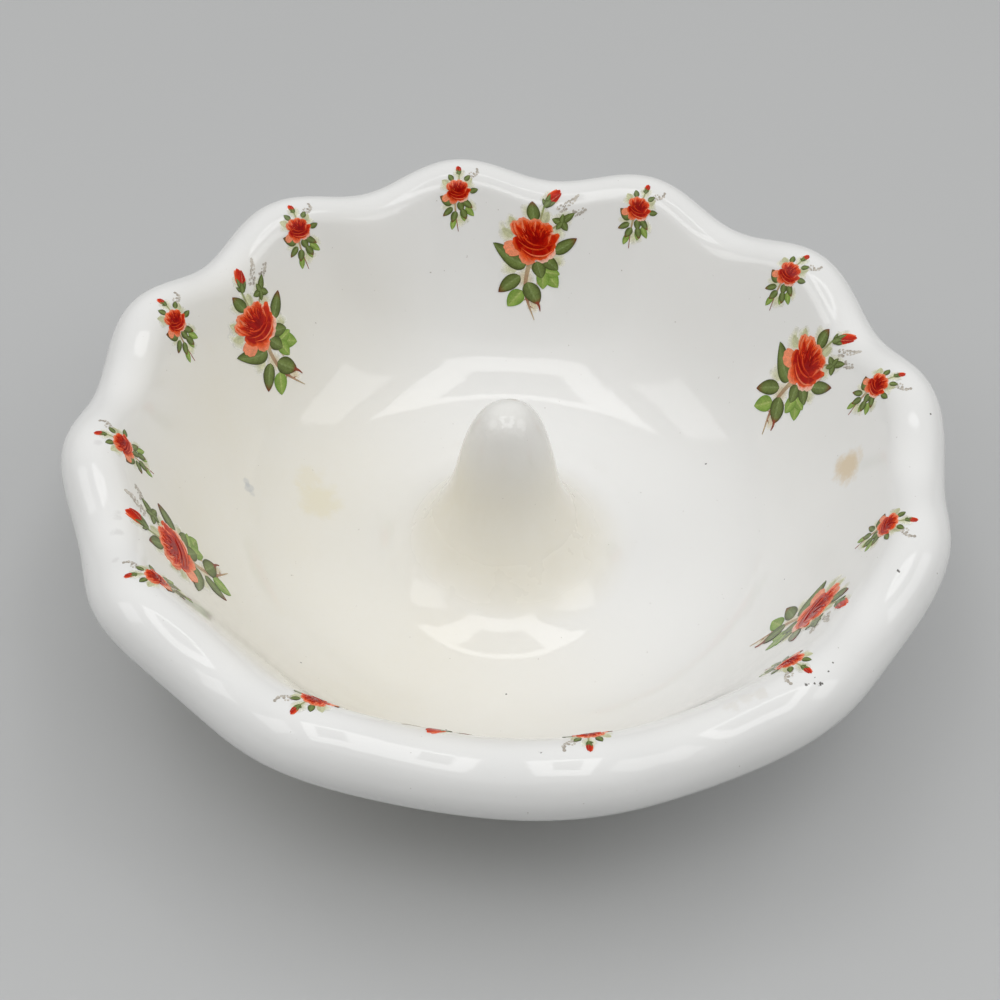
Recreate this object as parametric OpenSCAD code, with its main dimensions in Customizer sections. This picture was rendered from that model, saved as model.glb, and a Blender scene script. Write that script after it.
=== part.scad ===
// Ring dish: a scalloped bowl with a thick rolled rim, a ring cone in its middle
// and fired-on flower sprays on the inner wall. Millimetres, +Z up, origin in the
// middle of the plane that the foot ring stands on. One lobe of the rim points to +X.

/* [Rim] */
// Width over two opposite lobes
dish_w = 142.6; // [125:0.1:165]
// Thickness of the rolled rim
rim_roll = 10.8; // [9:0.1:12]
// Number of lobes round the rim
lobe_count = 12; // [8:2:12]
// How far a lobe swells out from the mean rim
lobe_out = 1; // [0:0.1:1.5]
// How far a lobe rises above the mean rim
lobe_rise = 1.45; // [0:0.05:2]
// Distance down the inner wall over which the lobes die out
lobe_fade = 30; // [20:1:40]

/* [Bowl] */
// Depth of the floor below the middle of the rolled rim
bowl_depth = 27; // [24:0.5:32]
// Angle of the inner wall where it leaves the rim, from the level
wall_angle = 57; // [50:1:62]
// Length of the straight pull of the inner wall at the rim and at the floor
wall_pull = 18.5; // [16:0.5:20]
// Thickness of the floor
floor_t = 5.5; // [4.5:0.1:7]

/* [Foot] */
// Outside radius of the foot ring
foot_r = 36; // [33:0.5:42]
// Width of the foot ring
foot_w = 4.5; // [3:0.1:6]
// Height of the foot ring
foot_h = 4; // [3:0.1:6]

/* [Ring cone] */
// Radius at which the flared base of the cone meets the floor
cone_base_r = 28; // [26:0.5:29]
// Height of the tip above the floor
cone_h = 33.8; // [31:0.1:40]
// Radius of the cone at its shoulder
cone_shoulder_r = 8.3; // [7:0.1:9]
// Height of the shoulder above the floor
cone_shoulder_h = 20; // [17:0.5:21]
// Thickness of the clay in the cone
cone_t = 4.5; // [3.5:0.1:5]

/* [Flower sprays] */
// Width of a large spray
large_w = 15; // [12:0.5:16]
// Length of a large spray, down the wall
large_len = 29; // [24:0.5:30]
// Distance of the middle of a large spray down the wall from the rim
large_drop = 10; // [9:0.5:12]
// Width of a small spray
small_w = 8; // [6:0.5:9]
// Length of a small spray, down the wall
small_len = 13; // [10:0.5:14]
// Distance of the middle of a small spray down the wall from the rim
small_drop = 0.8; // [0.5:0.1:3]
// Thickness of the fired film
film_t = 0.1; // [0.08:0.01:0.2]

/* [Hidden] */
large_count = lobe_count / 2;
small_count = lobe_count;
// The sprays were laid by hand, so each has its own lay: degrees round the dish,
// millimetres down the wall and degrees of tilt, away from its even place
large_lay = [[1.2, -1.7, 7], [2.5, -1.7, 6], [1.3, 0, 15], [-1.1, 0.2, 15], [0, 0, 6], [4.4, 1.8, 9]];
small_lay = [[1.2, 0, -4], [-0.2, -0.3, -1], [0, 0.7, -4], [1.6, 0.4, -7], [1, 0.2, -9],
    [1.5, 0.4, -15], [0, 0.2, -7], [-3, -0.5, -15], [-2.8, -0.9, -14], [2, 0, -10],
    [1.6, 0, -6], [2, 0.4, 2]];
// The film clears the flat facets of the wall under it
film_gap = 0.12;
rim_r = dish_w / 2 - rim_roll / 2 - lobe_out;
roll_r = rim_roll / 2;
rim_z = foot_h + floor_t + bowl_depth;
floor_z = foot_h + floor_t;
// Angles on the rim roll: where the inner wall and the underside leave it
roll_in = 90 + wall_angle;
roll_out = -60;
// The underside turns in from the roll and runs out level at the foot
under_pull_rim = 5;
under_pull_foot = 13;
under_drop = 2.5;
// A level land round the bore, so that the bore cuts only a flat floor
land = 0.6;
// The skin runs on past the bore by this much before the bore is cut
bury = 1;
// Steps round the rim for one lobe, and along each stretch of the section
lobe_steps = 10;
wall_steps = 14;
roll_steps = 14;
under_steps = 7;
turn_steps = lobe_count * lobe_steps;
// Samples that measure the length of the inner wall
wall_samples = 60;
// Step with which the slope of the wall is measured
probe = 0.05;
// Points round a film, and rings of them from its middle to its edge
large_spokes = 32;
large_rings = 4;
small_spokes = 24;
small_rings = 3;
// Waves in the cut edge of a film
edge_waves = 7;
edge_wave = 0.05;
// Slope of the cone's side at its shoulder, and how far its curves pull
cone_lean = 0.19;
tip_pull = 4.9;
shoulder_pull = 8.6;
waist_pull = 6.5;
flare_pull = 14.5;
cone_steps = 16;
// Radius that breaks the edges of the foot ring
foot_edge = 0.8;
glaze = "ivory";
transfer = "indianred";

SMALL_NODES = [for (i = [1:small_count]) str("rose_decal_small_", i)];
LARGE_NODES = [for (i = [1:large_count]) str("rose_decal_large_", i)];

// A point on a cubic curve
function cubic(a, b, c, d, t) =
    pow(1 - t, 3) * a + 3 * pow(1 - t, 2) * t * b + 3 * (1 - t) * t * t * c + pow(t, 3) * d;

function heading(a) = [cos(a), sin(a)];

// The section of the bowl as [radius, height] at the mean rim
function roll_point(a) = [rim_r, rim_z] + roll_r * heading(a);
function wall_point(t) =
    let (top = roll_point(roll_in), foot = [cone_base_r + land, floor_z])
    cubic(top, top + wall_pull * heading(roll_in + 90), foot + [wall_pull, 0], foot, t);
function under_point(t) =
    let (top = roll_point(roll_out), foot = [foot_r, foot_h])
    cubic(top, top + under_pull_rim * heading(roll_out - 90),
          foot + [under_pull_foot, under_drop], foot, t);

// The foot ring below the underside, with broken edges where it stands
function foot_points() =
    let (inside = foot_r - foot_w)
    [[foot_r, foot_edge], [foot_r - foot_edge, 0], [inside + foot_edge, 0],
     [inside, foot_edge], [inside, foot_h]];

// How strongly the lobes show at a distance from the rim roll
function fade(s) = let (x = min(max(s / lobe_fade, 0), 1)) pow(1 - x, 2) * (1 + 2 * x);

// Length of the inner wall, as a list of [length so far, t]
function wall_lengths(i = 0, sum = 0) =
    let (here = [[sum, i / wall_samples]])
    i == wall_samples ? here :
    concat(here, wall_lengths(i + 1, sum + norm(
        wall_point((i + 1) / wall_samples) - wall_point(i / wall_samples))));
WALL_LENGTHS = wall_lengths();

// A point of the section at length s down from the rim roll; s < 0 lies on the roll
function inner_point(s) =
    s < 0 ? roll_point(roll_in + s / roll_r * 180 / PI) : wall_point(lookup(s, WALL_LENGTHS));

// A point of the section turned to angle a, moved by the lobes with strength w
function turned(p, a, w) =
    let (swing = w * cos(lobe_count * a))
    [(p.x + lobe_out * swing) * cos(a), (p.x + lobe_out * swing) * sin(a), p.y + lobe_rise * swing];

function inner_surface(a, s) = turned(inner_point(s), a, fade(s));

// The same surface, raised into the bowl by h
function raised(a, s, h) =
    let (here = inner_surface(a, s),
         along = inner_surface(a + probe, s) - inner_surface(a - probe, s),
         down = inner_surface(a, s + probe) - inner_surface(a, s - probe),
         inward = cross(along, down))
    here + h * inward / norm(inward);

// The closed section as [[radius, height], lobe strength], from the floor over the
// rim to the underside
function section() = concat(
    [[[cone_base_r - bury, floor_z], 0]],
    [for (i = [0:wall_steps]) let (t = 1 - i / wall_steps, s = lookup(t, wall_by_t()))
        [wall_point(t), fade(s)]],
    [for (i = [1:roll_steps]) [roll_point(roll_in + (roll_out - roll_in) * i / roll_steps), 1]],
    [for (i = [1:under_steps]) let (t = i / under_steps) [under_point(t), pow(1 - t, 2)]],
    [for (p = foot_points()) [p, 0]],
    [[[cone_base_r - bury, foot_h], 0]]);
function wall_by_t() = [for (e = WALL_LENGTHS) [e[1], e[0]]];

// One section after another round the axis, joined into one skin
module turned_skin(profile, steps) {
    n = len(profile);
    points = [for (i = [0:steps - 1], e = profile) turned(e[0], 360 * i / steps, e[1])];
    faces = [for (i = [0:steps - 1], j = [0:n - 1])
        let (a = i * n, b = ((i + 1) % steps) * n, k = (j + 1) % n)
        each [[a + j, b + j, a + k], [a + k, b + j, b + k]]];
    polyhedron(points, faces, convexity = 6);
}

module bowl() {
    color(glaze)
    difference() {
        turned_skin(section(), turn_steps);
        translate([0, 0, foot_h - bury])
            cylinder(r = cone_base_r, h = floor_t + 2 * bury, $fn = 96);
    }
}

// The cone's outer curve from the tip to the floor
function cone_outer() =
    let (tip = [0, floor_z + cone_h],
         shoulder = [cone_shoulder_r, floor_z + cone_shoulder_h],
         lean = [cone_lean, -1],
         base = [cone_base_r, floor_z])
    concat(
        [for (i = [0:cone_steps]) cubic(tip, tip + [tip_pull, 0],
            shoulder - shoulder_pull * lean, shoulder, i / cone_steps)],
        [for (i = [1:cone_steps]) cubic(shoulder, shoulder + waist_pull * lean,
            base - [flare_pull, 0], base, i / cone_steps)]);

// The hollow under it: the same curve, one wall further in
function cone_inner() =
    let (p = cone_outer(), n = len(p))
    [for (i = [0:n - 1])
        let (run = p[min(i + 1, n - 1)] - p[max(i - 1, 0)], side = [run.y, -run.x] / norm(run))
        i == 0 ? [0, p[0].y - cone_t] : p[i] + cone_t * side];

module ring_cone() {
    hollow = [for (p = cone_inner()) if (p.y > foot_h) p];
    color(glaze)
    rotate_extrude($fn = 96)
        polygon(concat(
            cone_outer(),
            [[cone_base_r, foot_h], [hollow[len(hollow) - 1].x, foot_h]],
            [for (i = [len(hollow) - 1:-1:0]) hollow[i]]));
}

// A film on the wall: rings of points round its middle, on both faces
module film(angle, drop, lay, width, length, spokes, rings) {
    tilt = [[cos(lay.z), sin(lay.z)], [-sin(lay.z), cos(lay.z)]];
    reach = [for (k = [0:spokes - 1])
        let (f = 360 * k / spokes, wave = 1 - edge_wave + edge_wave * cos(edge_waves * f))
        tilt * [width / 2 * cos(f), length / 2 * sin(f)] * wave];
    flat = concat([[0, 0]], [for (j = [1:rings], k = [0:spokes - 1]) reach[k] * j / rings]);
    face_n = len(flat);
    points = [for (h = [film_gap + film_t, film_gap], p = flat)
        let (s = drop + lay.y + p.y, r = inner_point(s).x)
        raised(angle + lay.x - p.x / r * 180 / PI, s, h)];
    fan = [for (k = [0:spokes - 1]) [0, 1 + k, 1 + (k + 1) % spokes]];
    bands = [for (j = [1:rings - 1], k = [0:spokes - 1])
        let (a = 1 + (j - 1) * spokes, b = a + spokes, m = (k + 1) % spokes)
        each [[a + k, b + k, a + m], [b + k, b + m, a + m]]];
    skin = concat(fan, bands);
    rim = 1 + (rings - 1) * spokes;
    edge = [for (k = [0:spokes - 1])
        let (a = rim + k, b = rim + (k + 1) % spokes)
        each [[a, b + face_n, b], [a, a + face_n, b + face_n]]];
    polyhedron(points, concat(
        skin,
        [for (t = skin) [t[0] + face_n, t[2] + face_n, t[1] + face_n]],
        edge));
}

// Large sprays sit in every other valley between the lobes
module rose_decal_large(i) {
    color(transfer)
    film(360 / large_count * (i - 1) + 180 / lobe_count, large_drop, large_lay[i - 1],
         large_w, large_len, large_spokes, large_rings);
}

// Small sprays sit on the lobes
module rose_decal_small(i) {
    color(transfer)
    film(360 / small_count * (i - 1), small_drop, small_lay[i - 1],
         small_w, small_len, small_spokes, small_rings);
}

bowl();
ring_cone();
for (i = [1:large_count]) rose_decal_large(i);
for (i = [1:small_count]) rose_decal_small(i);
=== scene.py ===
import math
import random

import bmesh
import bpy
import numpy as np
from mathutils import Matrix, Vector


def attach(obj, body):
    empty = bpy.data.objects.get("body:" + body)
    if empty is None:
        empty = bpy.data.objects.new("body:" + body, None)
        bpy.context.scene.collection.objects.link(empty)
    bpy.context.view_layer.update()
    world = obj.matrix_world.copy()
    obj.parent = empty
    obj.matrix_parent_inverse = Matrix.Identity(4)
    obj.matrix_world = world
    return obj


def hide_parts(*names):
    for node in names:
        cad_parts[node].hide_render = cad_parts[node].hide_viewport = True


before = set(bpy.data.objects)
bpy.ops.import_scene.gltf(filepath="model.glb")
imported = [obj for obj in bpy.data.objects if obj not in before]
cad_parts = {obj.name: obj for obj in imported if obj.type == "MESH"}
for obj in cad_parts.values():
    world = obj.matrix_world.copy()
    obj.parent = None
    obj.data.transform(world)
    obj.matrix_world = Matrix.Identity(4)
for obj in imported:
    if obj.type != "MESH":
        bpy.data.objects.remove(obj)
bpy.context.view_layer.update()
MM = 0.001

# Camera: where the photograph was taken from, measured from the middle of the rim
CAMERA_AZIMUTH = 260.43
CAMERA_ELEVATION = 44.75
CAMERA_ROLL = 2.385
CAMERA_DISTANCE = 269.64 * MM
CAMERA_LENS = 60.04
CAMERA_SENSOR = 36.0
CAMERA_SHIFT = (-0.0115, -0.0616)

# Rim, in millimetres as in the part's own source
DISH_W = 142.6
RIM_ROLL = 10.8
LOBES = 12
LOBE_OUT = 1.0
LOBE_RISE = 1.45
LOBE_FADE = 30.0

# Bowl and foot
BOWL_DEPTH = 27.0
WALL_ANGLE = 57.0
WALL_PULL = 18.5
FLOOR_T = 5.5
LAND = 0.6
UNDER_ANGLE = -60.0
UNDER_PULL_RIM = 5.0
UNDER_PULL_FOOT = 13.0
UNDER_DROP = 2.5
FOOT_R = 36.0
FOOT_W = 4.5
FOOT_H = 4.0
FOOT_EDGE = 0.8
FOOT_BEVEL = 0.6

# Ring cone
CONE_BASE_R = 28.0
CONE_H = 33.8
CONE_SHOULDER_R = 8.3
CONE_SHOULDER_H = 20.0
CONE_T = 4.5
CONE_LEAN = 0.19
TIP_PULL = 4.9
SHOULDER_PULL = 8.6
WAIST_PULL = 6.5
FLARE_PULL = 14.5

# Places of the sprays down the wall, and how each was laid by hand, away from its even
# place: degrees round the dish, millimetres down the wall and degrees of tilt
LARGE_DROP = 10.0
SMALL_DROP = 0.8
LARGE_LAY = ((1.2, -1.7, 7), (2.5, -1.7, 6), (1.3, 0, 15),
             (-1.1, 0.2, 15), (0, 0, 6), (4.4, 1.8, 9))
SMALL_LAY = ((1.2, 0, -4), (-0.2, -0.3, -1), (0, 0.7, -4), (1.6, 0.4, -7), (1, 0.2, -9),
             (1.5, 0.4, -15), (0, 0.2, -7), (-3, -0.5, -15), (-2.8, -0.9, -14), (2, 0, -10),
             (1.6, 0, -6), (2, 0.4, 2))

# The hand-finished casting is a little uneven: waves round the dish as times round,
# size in millimetres and phase in degrees. The warp grows from the foot outward over its
# reach, and the lobes' own share dies out with the lobes.
WARP_OUT = ((2, 0.31, -25), (3, 0.28, -158))
WARP_RISE = ((1, 0.34, -108), (2, 0.27, 51), (3, 0.17, 103))
WARP_REACH = 26.0
LOBES_OUT = ((10, 0.46, -116), (11, 0.24, 130), (13, 0.23, -61), (14, 0.13, 168))
LOBES_RISE = ((9, 0.19, -170), (14, 0.19, 81))
# The cone stands off the middle by this much toward the camera's left, within the first
# radius, and less and less out to the second
CONE_OFF = 0.7
CONE_OFF_FULL_R = 9.0
CONE_OFF_NIL_R = 27.0
# Its side is a little oval and twisted: size in millimetres, phase, and turn in radians for
# each millimetre of height. Both grow in over these widths from the tip and from the base.
CONE_OVAL = 0.10
CONE_OVAL_PHASE = 0.4
CONE_TWIST = 0.05
CONE_TWIST_TURN = 0.3
UNEVEN_FROM_TIP = 3.0
UNEVEN_FROM_BASE = 14.0

# Values that follow from the sizes above
RIM_R = DISH_W / 2 - RIM_ROLL / 2 - LOBE_OUT
ROLL_R = RIM_ROLL / 2
FLOOR_Z = FOOT_H + FLOOR_T
RIM_Z = FLOOR_Z + BOWL_DEPTH
ROLL_IN = 90.0 + WALL_ANGLE


def srgb(r, g, b, a=1.0):
    """A colour as it looks on screen, 0 to 255, in the linear values that shaders take."""
    def line(v):
        v = v / 255.0
        return v / 12.92 if v <= 0.04045 else ((v + 0.055) / 1.055) ** 2.4
    return (line(r), line(g), line(b), a)


# Camera

def make_camera():
    az = math.radians(CAMERA_AZIMUTH)
    el = math.radians(CAMERA_ELEVATION)
    roll = math.radians(CAMERA_ROLL)
    back = Vector((math.cos(az) * math.cos(el), math.sin(az) * math.cos(el), math.sin(el)))
    right = Vector((-math.sin(az), math.cos(az), 0.0))
    up = back.cross(right)
    right, up = (right * math.cos(roll) + up * math.sin(roll),
                 up * math.cos(roll) - right * math.sin(roll))
    target = Vector((0.0, 0.0, RIM_Z * MM))
    data = bpy.data.cameras.new("camera")
    data.lens = CAMERA_LENS
    data.sensor_width = CAMERA_SENSOR
    data.shift_x, data.shift_y = CAMERA_SHIFT
    camera = bpy.data.objects.new("camera", data)
    facing = Matrix((right, up, back)).transposed().to_4x4()
    camera.matrix_world = Matrix.Translation(target + back * CAMERA_DISTANCE) @ facing
    bpy.context.collection.objects.link(camera)
    bpy.context.scene.camera = camera


make_camera()


# Section of the bowl: points are [radius, height] in millimetres at the mean rim

def heading(a):
    return np.array([math.cos(math.radians(a)), math.sin(math.radians(a))])


def cubic(a, b, c, d, t):
    t = np.asarray(t, float)[:, None]
    a, b, c, d = (np.asarray(p, float) for p in (a, b, c, d))
    return (1 - t) ** 3 * a + 3 * (1 - t) ** 2 * t * b + 3 * (1 - t) * t * t * c + t ** 3 * d


def roll_points(angles):
    a = np.radians(angles)
    return np.array([RIM_R, RIM_Z]) + ROLL_R * np.stack([np.cos(a), np.sin(a)], -1)


def wall_points(t):
    top = roll_points([ROLL_IN])[0]
    foot = np.array([CONE_BASE_R + LAND, FLOOR_Z])
    return cubic(top, top + WALL_PULL * heading(ROLL_IN + 90), foot + [WALL_PULL, 0], foot, t)


def under_points(t):
    top = roll_points([UNDER_ANGLE])[0]
    foot = np.array([FOOT_R, FOOT_H])
    return cubic(top, top + UNDER_PULL_RIM * heading(UNDER_ANGLE - 90),
                 foot + [UNDER_PULL_FOOT, UNDER_DROP], foot, t)


WALL_SAMPLES = 401
WALL_T = np.linspace(0, 1, WALL_SAMPLES)
WALL_CURVE = wall_points(WALL_T)
WALL_S = np.concatenate([[0], np.cumsum(np.linalg.norm(np.diff(WALL_CURVE, axis=0), axis=1))])


def fade(s):
    x = np.clip(np.asarray(s, float) / LOBE_FADE, 0, 1)
    return (1 - x) ** 2 * (1 + 2 * x)


def inner_points(s):
    """Points at lengths s down the inner wall from the rim roll; s < 0 lies on the roll."""
    s = np.asarray(s, float)
    on_roll = roll_points(ROLL_IN + np.minimum(s, 0) / ROLL_R * 180 / math.pi)
    t = np.interp(s, WALL_S, WALL_T)
    return np.where((s < 0)[:, None], on_roll, wall_points(t))


def waves(a, terms):
    """The sum of a few waves round the dish: times round, size in millimetres, phase."""
    return sum(size * np.sin(np.radians(count * a + phase)) for count, size, phase in terms)


def turned(p, a, w):
    """Section points p turned to angles a in degrees, moved by the lobes with strength w."""
    swing = w * np.cos(np.radians(LOBES * a))
    grip = np.clip((p[..., 0] - FOOT_R) / WARP_REACH, 0, 1) ** 2
    out = LOBE_OUT * swing + w * waves(a, LOBES_OUT) + grip * waves(a, WARP_OUT)
    rise = LOBE_RISE * swing + w * waves(a, LOBES_RISE) + grip * waves(a, WARP_RISE)
    r = p[..., 0] + out
    t = np.radians(a)
    return np.stack([r * np.cos(t), r * np.sin(t), p[..., 1] + rise], -1)


def inner_surface(a, s):
    return turned(inner_points(s), a, fade(s))


# Step in degrees and in millimetres with which the wall's slope is measured
PROBE = 0.05


def raised(a, s, h):
    """The inner surface at angles a and lengths s, raised into the bowl by h."""
    along = inner_surface(a + PROBE, s) - inner_surface(a - PROBE, s)
    down = inner_surface(a, s + PROBE) - inner_surface(a, s - PROBE)
    inward = np.cross(along, down)
    inward /= np.linalg.norm(inward, axis=-1, keepdims=True)
    return inner_surface(a, s) + np.asarray(h)[..., None] * inward


# Meshes

# Steps round the dish, and points along each stretch of a section
ROUND_STEPS = LOBES * 24
WALL_STEPS = 86
ROLL_STEPS = 54
UNDER_STEPS = 44
FOOT_EDGE_STEPS = 7
DOME_STEPS = 44
FLARE_STEPS = 60
# Shares of the wall at which its first points lie, from the floor up, and shares of the
# cone's flare at which its last points lie
WALL_FIRST = (0.0, 0.02, 0.08)
FLARE_LAST = (0.97, 0.995, 1.0)
SHARP_ANGLE = 50.0


def add_object(name, mesh, material, slot, *nodes):
    obj = bpy.data.objects.new(name, mesh)
    bpy.context.collection.objects.link(obj)
    mesh.materials.append(material)
    mesh.shade_smooth()
    mesh.set_sharp_from_angle(angle=math.radians(SHARP_ANGLE))
    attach(obj, "root")
    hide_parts(*nodes)
    return obj


def grid_faces(rows, columns, wrap_rows, wrap_columns):
    faces = []
    for i in range(rows if wrap_rows else rows - 1):
        for j in range(columns if wrap_columns else columns - 1):
            a, b = i * columns, ((i + 1) % rows) * columns
            k = (j + 1) % columns
            faces.append((a + j, b + j, b + k, a + k))
    return faces


def bowl_section():
    """The closed section with each point's lobe strength."""
    up_wall = np.concatenate([WALL_FIRST[:2], np.linspace(WALL_FIRST[2], 1, WALL_STEPS)])
    wall = wall_points(1 - up_wall)
    wall_s = np.interp(1 - up_wall, WALL_T, WALL_S)
    roll = roll_points(np.linspace(ROLL_IN, UNDER_ANGLE, ROLL_STEPS)[1:])
    under_t = np.linspace(0, 1, UNDER_STEPS)[1:]
    under = under_points(under_t)
    inside = FOOT_R - FOOT_W
    bend = np.radians(np.linspace(0, 90, FOOT_EDGE_STEPS))
    outer_edge = np.stack([FOOT_R - FOOT_EDGE + FOOT_EDGE * np.cos(bend),
                           FOOT_EDGE - FOOT_EDGE * np.sin(bend)], -1)
    inner_edge = np.stack([inside + FOOT_EDGE - FOOT_EDGE * np.sin(bend),
                           FOOT_EDGE - FOOT_EDGE * np.cos(bend)], -1)
    base = np.array([[inside, FOOT_H - FOOT_BEVEL], [inside - FOOT_BEVEL, FOOT_H],
                     [CONE_BASE_R, FOOT_H]])
    middle = [[CONE_BASE_R, FLOOR_Z]]
    points = np.concatenate([middle, wall, roll, under, outer_edge, inner_edge, base])
    rest = np.zeros(len(outer_edge) + len(inner_edge) + len(base))
    strength = np.concatenate([[0], fade(wall_s), np.ones(len(roll)), (1 - under_t) ** 2, rest])
    return points, strength


def make_bowl(material):
    points, strength = bowl_section()
    angles = np.arange(ROUND_STEPS) * 360.0 / ROUND_STEPS
    a, j = np.meshgrid(angles, np.arange(len(points)), indexing="ij")
    verts = turned(points[j], a, strength[j]) * MM
    mesh = bpy.data.meshes.new("glazed_bowl")
    mesh.from_pydata(verts.reshape(-1, 3), [], grid_faces(ROUND_STEPS, len(points), True, True))
    return add_object("glazed_bowl", mesh, material, "glazed_body", "bowl")


def cone_section():
    """The outside of the cone, from its tip down to the edge of its flare."""
    tip = np.array([0.0, FLOOR_Z + CONE_H])
    shoulder = np.array([CONE_SHOULDER_R, FLOOR_Z + CONE_SHOULDER_H])
    lean = np.array([CONE_LEAN, -1.0])
    base = np.array([CONE_BASE_R, FLOOR_Z])
    dome = cubic(tip, tip + [TIP_PULL, 0], shoulder - SHOULDER_PULL * lean, shoulder,
                 np.linspace(0, 1, DOME_STEPS))
    down_flare = np.concatenate([np.linspace(0, FLARE_LAST[0], FLARE_STEPS), FLARE_LAST[1:]])
    flare = cubic(shoulder, shoulder + WAIST_PULL * lean, base - [FLARE_PULL, 0], base, down_flare)
    return np.concatenate([dome, flare[1:]])


def uneven_cone(profile):
    """The cone's profile turned round, one row of points for each step, in millimetres."""
    t = np.arange(ROUND_STEPS)[:, None] * 2 * math.pi / ROUND_STEPS
    r, z = profile[None, :, 0], profile[None, :, 1]
    amount = (np.clip((CONE_BASE_R - r) / UNEVEN_FROM_BASE, 0, 1)
              * np.clip(r / UNEVEN_FROM_TIP, 0, 1))
    oval = CONE_OVAL * np.sin(2 * t + CONE_OVAL_PHASE)
    twist = CONE_TWIST * np.sin(3 * t + CONE_TWIST_TURN * z)
    ease = np.clip((CONE_OFF_NIL_R - r) / (CONE_OFF_NIL_R - CONE_OFF_FULL_R), 0, 1)
    off = CONE_OFF * ease * ease * (3 - 2 * ease)
    rr = r + amount * (oval + twist)
    aside = heading(CAMERA_AZIMUTH - 90)
    return np.stack([rr * np.cos(t) + off * aside[0], rr * np.sin(t) + off * aside[1],
                     np.broadcast_to(z, rr.shape)], -1)


def make_cone(material):
    outer = cone_section()
    run = np.gradient(outer, axis=0)
    side = np.stack([run[:, 1], -run[:, 0]], -1)
    side /= np.linalg.norm(side, axis=1, keepdims=True)
    inner = outer + CONE_T * side
    inner[0] = [0, outer[0, 1] - CONE_T]
    inner = inner[(inner[:, 1] > FOOT_H) & (inner[:, 0] >= 0)]
    mouth = np.array([[CONE_BASE_R, FOOT_H], [inner[-1, 0], FOOT_H]])
    profile = np.concatenate([outer[1:], mouth, inner[::-1][:-1]])
    verts = uneven_cone(profile).reshape(-1, 3)
    n = len(profile)
    faces = grid_faces(ROUND_STEPS, n, True, False)
    top, under = len(verts), len(verts) + 1
    middle = CONE_OFF * heading(CAMERA_AZIMUTH - 90)
    ends = [[*middle, outer[0, 1]], [*middle, inner[0, 1]]]
    verts = np.concatenate([verts, ends]) * MM
    for i in range(ROUND_STEPS):
        k = (i + 1) % ROUND_STEPS
        faces.append((top, i * n, k * n))
        faces.append((under, k * n + n - 1, i * n + n - 1))
    mesh = bpy.data.meshes.new("glazed_cone")
    mesh.from_pydata(verts, [], faces)
    return add_object("glazed_cone", mesh, material, "glazed_cone", "ring_cone")


# Flower sprays: patches of print, drawn in millimetres on the wall with y up to the rim

class Spray:
    """Collects printed patches, each a grid of points with colours, one layer over another."""

    # Heights over the wall in millimetres: of the first layer, from one layer to the next,
    # and of the underside of them all, which is sunk into the glaze
    FIRST = 0.03
    LAYER = 0.0025
    SUNK = -0.03

    def __init__(self):
        self.points = []
        self.heights = []
        self.colours = []
        self.faces = []
        self.layer = 0

    def patch(self, xy, colour):
        """xy is rows x columns x 2, colour the same shape with 3: a closed slab of print."""
        rows, columns = xy.shape[:2]
        count = rows * columns
        start = sum(len(p) for p in self.points)
        height = self.FIRST + self.LAYER * self.layer
        self.layer += 1
        flat = xy.reshape(-1, 2)
        tint = colour.reshape(-1, 3)
        self.points += [flat, flat]
        self.heights += [np.full(count, height), np.full(count, self.SUNK)]
        self.colours += [tint, tint]
        top = grid_faces(rows, columns, False, False)
        self.faces += [tuple(start + v for v in f) for f in top]
        self.faces += [tuple(start + count + v for v in reversed(f)) for f in top]
        edge = ([(0, j) for j in range(columns)] + [(i, columns - 1) for i in range(1, rows)]
                + [(rows - 1, j) for j in range(columns - 2, -1, -1)]
                + [(i, 0) for i in range(rows - 2, 0, -1)])
        ids = [i * columns + j for i, j in edge]
        for a, b in zip(ids, ids[1:] + ids[:1]):
            self.faces.append((start + a, start + b, start + count + b, start + count + a))

    def build(self, name, angle, drop, lay, material, node):
        more_angle, more_drop, tilt = lay
        xy = turn(np.concatenate(self.points), 90 + tilt, (0, 0))
        h = np.concatenate(self.heights)
        s = drop + more_drop - xy[:, 1]
        r = inner_points(s)[:, 0]
        a = angle + more_angle - xy[:, 0] / r * 180 / math.pi
        verts = raised(a, s, h) * MM
        mesh = bpy.data.meshes.new(name)
        mesh.from_pydata(verts, [], self.faces)
        mesh.validate()
        tints = mesh.color_attributes.new("print", "FLOAT_COLOR", "POINT")
        rgba = np.ones((len(xy), 4), np.float32)
        rgba[:, :3] = np.concatenate(self.colours)
        tints.data.foreach_set("color", rgba.ravel())
        work = bmesh.new()
        work.from_mesh(mesh)
        bmesh.ops.recalc_face_normals(work, faces=work.faces)
        work.to_mesh(mesh)
        work.free()
        return add_object(name, mesh, material, "rose_transfer", node)


def blend(a, b, x):
    a, b = np.asarray(a, float)[..., :3], np.asarray(b, float)[..., :3]
    x = np.clip(np.asarray(x, float), 0, 1)[..., None]
    return a * (1 - x) + b * x


def turn(xy, angle, centre):
    """Points drawn pointing along +y, turned to point along angle and moved to centre."""
    t = math.radians(angle - 90)
    x = xy[..., 0] * math.cos(t) - xy[..., 1] * math.sin(t)
    y = xy[..., 0] * math.sin(t) + xy[..., 1] * math.cos(t)
    return np.stack([x + centre[0], y + centre[1]], -1)


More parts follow.
